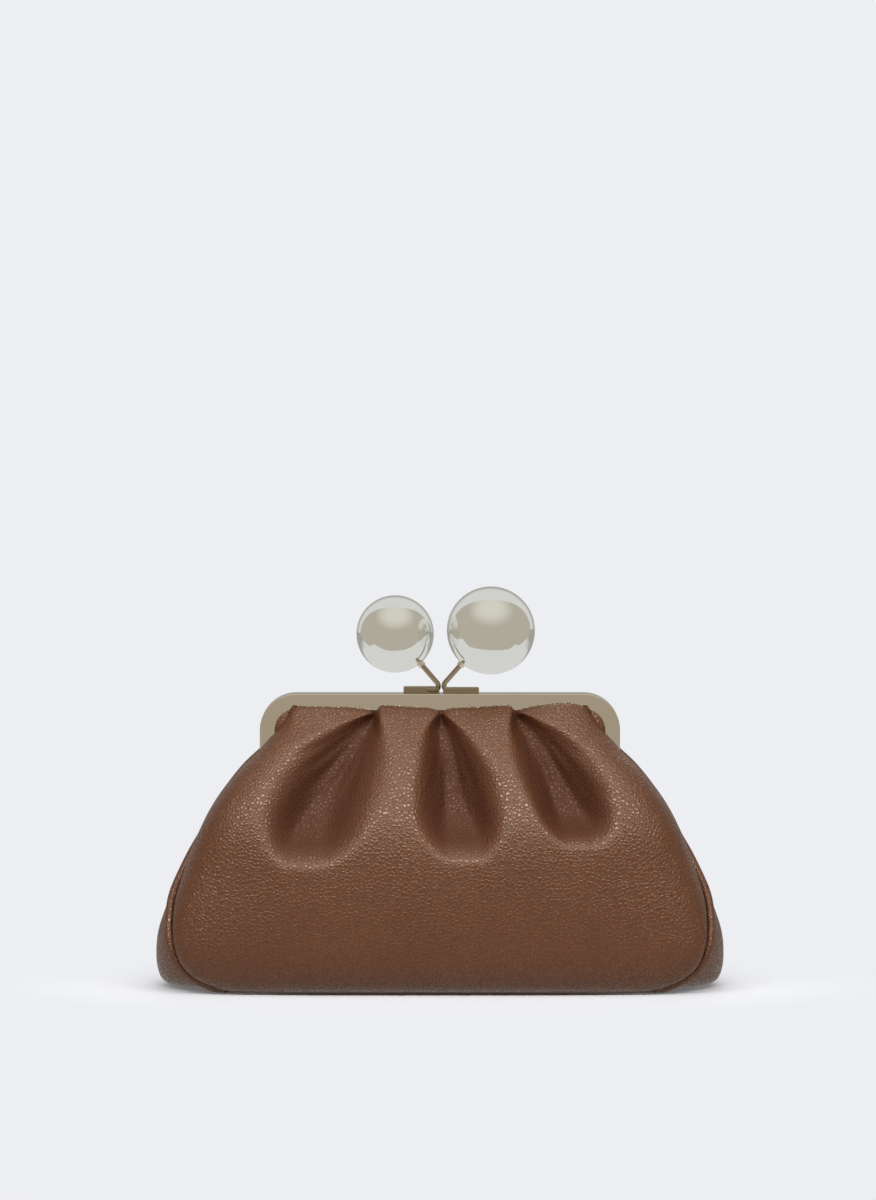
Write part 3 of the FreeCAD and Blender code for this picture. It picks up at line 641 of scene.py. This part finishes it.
sketch = panel_points(LEATHER_LINE, 0.0, LEATHER_CLEARANCE, 30, 40, 3, True).reshape(-1, 3)
print("panel reaches", sketch.min(0).round(1), sketch.max(0).round(1), "mm")


# %% A bent grid as a piece
INSIDE = Vector((0.0, 0.0, 0.06))


def finish_piece(bm, name, material):
    """Turn a bmesh into a smooth piece of the scene."""
    mesh = bpy.data.meshes.new(name)
    bm.to_mesh(mesh)
    bm.free()
    mesh.materials.append(material)
    mesh.shade_smooth()
    piece = bpy.data.objects.new(name, mesh)
    bpy.context.scene.collection.objects.link(piece)
    if material in (leather, lining_twill, foam):
        lit.objects.link(piece)
    return piece


def bent_grid(points):
    """A flat grid whose vertices are moved to rows of points, given in millimetres."""
    rows, columns = points.shape[0] - 1, points.shape[1] - 1
    bm = bmesh.new()
    bmesh.ops.create_grid(bm, x_segments=columns, y_segments=rows, size=1.0)
    for vert in bm.verts:
        column = round((vert.co.x + 1) / 2 * columns)
        row = round((vert.co.y + 1) / 2 * rows)
        vert.co = Vector(points[row, column]) * MM
    return bm


def face_away(bm, middle):
    """Turn every face of an open sheet so that the sheet faces away from a point."""
    bm.normal_update()
    outward = sum(face.normal.dot(face.calc_center_median() - middle) * face.calc_area() for face in bm.faces)
    if outward < 0:
        bmesh.ops.reverse_faces(bm, faces=bm.faces[:])


def wall_thickness(piece, thickness):
    """Give a sheet its thickness, inwards."""
    solid = piece.modifiers.new("thickness", 'SOLIDIFY')
    solid.thickness = thickness * MM
    solid.offset = -1.0
    solid.use_even_offset = False


def inward(points, distance):
    """The same rows of points, moved in square to the surface, towards the inside of the bag."""
    normal = np.cross(np.gradient(points, axis=1), np.gradient(points, axis=0))
    normal /= np.linalg.norm(normal, axis=2, keepdims=True) + 1e-9
    to_inside = np.array(INSIDE) / MM - points
    return points + normal * distance * np.sign((normal * to_inside).sum())


print("piece helpers ready")

# %% [markdown]
# ## Front and back leather
# Both panels are cut from one pattern, so the back is the front turned half way round.

# %% Leather panels
SIDES = (("front", 0.0), ("back", math.pi))
# At this depth in a pocket the leather counts as wholly in the fold
FOLD_DEPTH = 11.0
LEATHER_THICKNESS, TWILL_THICKNESS, FOAM_THICKNESS = 1.4, 0.6, 1.2
LEATHER_RELAX, INNER_RELAX = 3, 2


def panel_layer(name, side, turn, points, material, thickness, replaced, relax):
    """One layer of a panel's wall: the bent grid, smoothed, turned to its side and given its thickness."""
    bm = bent_grid(points)
    for _ in range(relax):
        bmesh.ops.smooth_vert(bm, verts=[v for v in bm.verts if not v.is_boundary], factor=0.5,
                              use_axis_x=True, use_axis_y=True, use_axis_z=True)
    bmesh.ops.rotate(bm, verts=bm.verts[:], cent=(0, 0, 0), matrix=Matrix.Rotation(turn, 3, 'Z'))
    face_away(bm, INSIDE)
    piece = finish_piece(bm, side + name, material)
    across, _, up = np.array([v.co for v in piece.data.vertices]).T / MM
    depth = pocket_push(across * math.cos(turn), up)
    piece.data.attributes.new("fold", 'FLOAT', 'POINT').data.foreach_set("value", ease(depth / FOLD_DEPTH))
    wall_thickness(piece, thickness)
    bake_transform(piece)
    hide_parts(*[side + node for node in replaced])
    return piece


points = panel_points(LEATHER_LINE, 0.0, LEATHER_CLEARANCE, ROWS, MAIN_COLUMNS, FLAP_COLUMNS, True)
for side, turn in SIDES:
    piece = panel_layer("_leather", side, turn, points, leather, LEATHER_THICKNESS,
                        ("_panel", "_gathers"), LEATHER_RELAX)
    print(piece.name, len(piece.data.polygons), "faces")

# %% [markdown]
# ## Foam and lining
# Inside the leather of the belly lies a thin foam that keeps it round, and inside that the lining, which goes up to
# the frame. Both follow the leather a few millimetres further in, on a coarser grid.

# %% Foam and lining
INNER_ROWS, INNER_COLUMNS = 75, 130
# Name, node, line, how far in from the sides, least distance from the shutting plane, thickness, material, slot
for name, node, line, inset, least, thickness, material, slot in (
    ("_foam_sheet", "_padding", FOAM_LINE, 11.0, 5.0, FOAM_THICKNESS, foam, "foam_padding"),
    ("_twill_sheet", "_lining", TWILL_LINE, 5.4, 2.2, TWILL_THICKNESS, lining_twill, "lining_cloth"),
):
    layer = panel_points(line, inset, least, INNER_ROWS, INNER_COLUMNS)
    for side, turn in SIDES:
        piece = panel_layer(name, side, turn, layer, material, thickness, (node,), INNER_RELAX)
        print(piece.name, len(piece.data.polygons), "faces")

# %% [markdown]
# ## Gusset
# One strip of leather runs from hinge to hinge: down one side, under the base and up the other side. The sides
# swell out between the seams, and the base lies flat. The strip is a grid again, with one row for each place
# along the strip.

# %% Gusset
# From the middle of the base out and up to the hinge: seam across, seam up, crown across, crown up, half span
GUSSET = (
    (0, 1.4, 0, 0.4, 36.0), (40, 1.4, 40, 0.4, 36.0), (80, 1.4, 80, 0.4, 36.0), (104, 1.4, 108, 0.4, 36.0),
    (114, 2.2, 128, 0.5, 36.4), (121, 4.2, 137.5, 1.2, 36.8), (127, 7.6, 142.4, 3.8, 37.2),
    (131.4, 12.4, 144.6, 9.0, 37.2), (134.2, 19.0, 145.4, 17.0, 36.4), (135.4, 28.0, 144.6, 27.0, 32.8),
    (135.0, 40.0, 140.6, 40.0, 27.4), (131.6, 55.0, 134.0, 55.0, 18.8), (127.2, 68.0, 128.2, 68.0, 11.6),
    (122.6, 80.0, 123.0, 80.0, 6.4), (119.0, 87.0, 119.2, 87.0, 5.4), (115.4, 91.6, 115.6, 91.6, 5.6),
    (111.0, 94.4, 111.0, 94.4, 6.0), (104.0, 95.4, 104.0, 95.4, 6.2), (97.0, 95.0, 97.0, 95.0, 6.2),
)
# Over 2, the strip's section is fuller than a parabola. Columns and rows for half the strip, outside and lining.
GUSSET_FULLNESS = 2.2
GUSSET_ROWS, GUSSET_COLUMNS, LINING_ROWS, LINING_COLUMNS = 110, 48, 60, 24
LINING_INSET, LINING_THICKNESS = 3.6, 0.8


def gusset_points(steps, across, inset):
    """Rows of points along the gusset, from the left hinge to the right one."""
    table = np.array(GUSSET, float)
    reach = np.concatenate(([0], np.cumsum(np.hypot(*np.diff(table[:, 2:4], axis=0).T))))
    half = np.linspace(0, reach[-1], steps + 1)
    seam_x, seam_z, crown_x, crown_z, span = (through(tuple(zip(reach, column)), half) for column in table.T)
    share = np.linspace(-1, 1, across + 1)
    swell = (1 - np.abs(share) ** GUSSET_FULLNESS)[None, :]
    x = seam_x[:, None] + (crown_x - seam_x)[:, None] * swell
    z = seam_z[:, None] + (crown_z - seam_z)[:, None] * swell
    y = span[:, None] * share[None, :]
    right = np.stack((x, y, z), -1)
    left = right[:0:-1] * np.array((-1, 1, 1))
    rows = np.concatenate((left, right))
    return inward(rows, inset)


bm = bent_grid(gusset_points(GUSSET_ROWS, GUSSET_COLUMNS, 0.0))
face_away(bm, INSIDE)
gusset = finish_piece(bm, "gusset_leather", leather)
wall_thickness(gusset, LEATHER_THICKNESS)
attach(gusset, "bag")
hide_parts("gusset")
print(gusset.name, len(gusset.data.polygons), "faces")

# %% [markdown]
# ## Gusset lining
# The lining of the gusset is the same strip, a few millimetres further in.

# %% Gusset lining
bm = bent_grid(gusset_points(LINING_ROWS, LINING_COLUMNS, LINING_INSET))
face_away(bm, INSIDE)
gusset_lining = finish_piece(bm, "gusset_twill", lining_twill)
wall_thickness(gusset_lining, LINING_THICKNESS)
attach(gusset_lining, "bag")
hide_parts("gusset_lining")
print(gusset_lining.name, len(gusset_lining.data.polygons), "faces")

# %% [markdown]
# ## Piping
# A narrow strip of the same leather, wrapped round a cord, is sewn into each panel's seam from hinge to hinge.
# A smooth curve follows the seam, and a round profile gives it its body.

# %% Piping
PIPING_RADIUS = 2.3
# Height, and how far past the panel's half width the cord lies
PIPING_OUT = ((20, 1.9), (45, 1.9), (62, 0.4), (76, -2.4), (90, -4.6))
PIPING_HEIGHTS = (*np.linspace(89, 20, 16), 14.0, 9.0, 5.4, 3.2, 2.5)
PIPING_IN, PIPING_BASE_DEPTH, PIPING_BASE_HEIGHT = 2.2, 38.4, 2.5
PIPING_BASE_PLACES = (90.0, 45.0, 0.0, -45.0, -90.0)


def seam_curve(sign):
    """Points of a panel's seam in millimetres, from the right hinge round the base to the left one."""
    height = np.array(PIPING_HEIGHTS)
    width = through(HALF_WIDTH, height) + through(PIPING_OUT, height)
    seam = through(SEAM_DEPTH, height) - PIPING_IN
    right = np.stack((width, sign * seam, height), -1)
    base = np.array([(x, sign * PIPING_BASE_DEPTH, PIPING_BASE_HEIGHT) for x in PIPING_BASE_PLACES])
    left = right[::-1] * np.array((-1, 1, 1))
    return np.concatenate((right, base, left))


for side, sign in (("front", -1), ("back", 1)):
    data = bpy.data.curves.new(side + "_piping_path", 'CURVE')
    data.dimensions = '3D'
    data.bevel_depth = PIPING_RADIUS * MM
    data.bevel_resolution = 5
    data.resolution_u = 6
    data.use_fill_caps = True
    path = seam_curve(sign)
    spline = data.splines.new('NURBS')
    spline.points.add(len(path) - 1)
    for point, place_mm in zip(spline.points, path):
        point.co = (*(Vector(place_mm) * MM), 1.0)
    spline.order_u = 3
    spline.use_endpoint_u = True
    drawn = bpy.data.objects.new(side + "_piping_path", data)
    bpy.context.scene.collection.objects.link(drawn)
    bpy.context.view_layer.update()
    mesh = bpy.data.meshes.new_from_object(drawn.evaluated_get(bpy.context.evaluated_depsgraph_get()))
    bpy.data.objects.remove(drawn)
    mesh.name = side + "_piping_leather"
    mesh.materials.clear()
    mesh.materials.append(leather)
    mesh.shade_smooth()
    piping = bpy.data.objects.new(side + "_piping_leather", mesh)
    bpy.context.scene.collection.objects.link(piping)
    lit.objects.link(piping)
    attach(piping, "bag")
    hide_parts(side + "_piping")
    print(piping.name, len(mesh.polygons), "faces")

# %% [markdown]
# ## Metal parts
# The frame, the stems and the rivets keep the shapes of the construction model and get their plating. A mirror
# shows every flat facet, so the two balls are turned afresh: a half circle is spun round the line of the stem,
# and the opening at the stem is turned in a little, as a pressed ball is.

# %% Plating on the construction model
for name, material in (
    ("front_frame", frame_plating), ("back_frame", frame_plating),
    ("front_stem", stem_plating), ("back_stem", stem_plating),
    ("front_stem_rivets", frame_plating), ("back_stem_rivets", frame_plating),
    ("left_hinge_pin", frame_plating), ("right_hinge_pin", frame_plating),
    ("large_ball_collar", frame_plating), ("small_ball_collar", frame_plating),
    ("front_filler_cord", twisted_paper), ("back_filler_cord", twisted_paper),
    ("base_board", pulp_board),
):
    for slot in nodes[name].material_slots:
        slot.material = material
print("plated nodes done")


# %% Balls
STEM_SLOPE = math.radians(49.0)
SEAT_RADIUS, SEAT_DEPTH = 1.42, 1.2
ARC_STEPS, TURN_STEPS = 72, 128


def turned_ball(name, node, body, lean):
    """A hollow ball spun round the line of its stem."""
    low, high = (Vector(corner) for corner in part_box(node))
    middle = (low + high) / 2
    radius = (high.x - low.x) / 2
    bm = bmesh.new()
    top = bm.verts.new((0, 0, radius))
    seat = math.asin(SEAT_RADIUS * MM / radius)
    bmesh.ops.spin(bm, geom=[top], cent=(0, 0, 0), axis=(0, 1, 0), angle=math.pi - seat, steps=ARC_STEPS)
    bm.verts.ensure_lookup_table()
    last = min(bm.verts, key=lambda v: v.co.z)
    rim = bmesh.ops.extrude_vert_indiv(bm, verts=[last])["verts"]
    bmesh.ops.translate(bm, verts=rim, vec=(0, 0, SEAT_DEPTH * MM))
    bmesh.ops.spin(bm, geom=bm.edges[:] + bm.verts[:], cent=(0, 0, 0), axis=(0, 0, 1), angle=math.tau,
                   steps=TURN_STEPS, use_merge=True)
    bmesh.ops.remove_doubles(bm, verts=bm.verts[:], dist=1e-6)
    bmesh.ops.recalc_face_normals(bm, faces=bm.faces[:])
    tilt = Matrix.Rotation(lean * (math.pi / 2 - STEM_SLOPE), 3, 'Y')
    bmesh.ops.rotate(bm, verts=bm.verts[:], cent=(0, 0, 0), matrix=tilt)
    bmesh.ops.translate(bm, verts=bm.verts[:], vec=middle)
    piece = finish_piece(bm, name, ball_plating)
    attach(piece, body)
    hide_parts(node)
    print(name, round(2 * radius / MM, 1), "mm across,", len(piece.data.polygons), "faces")


turned_ball("large_mirror_ball", "large_ball", "front_half", 1)
turned_ball("small_mirror_ball", "small_ball", "back_half", -1)
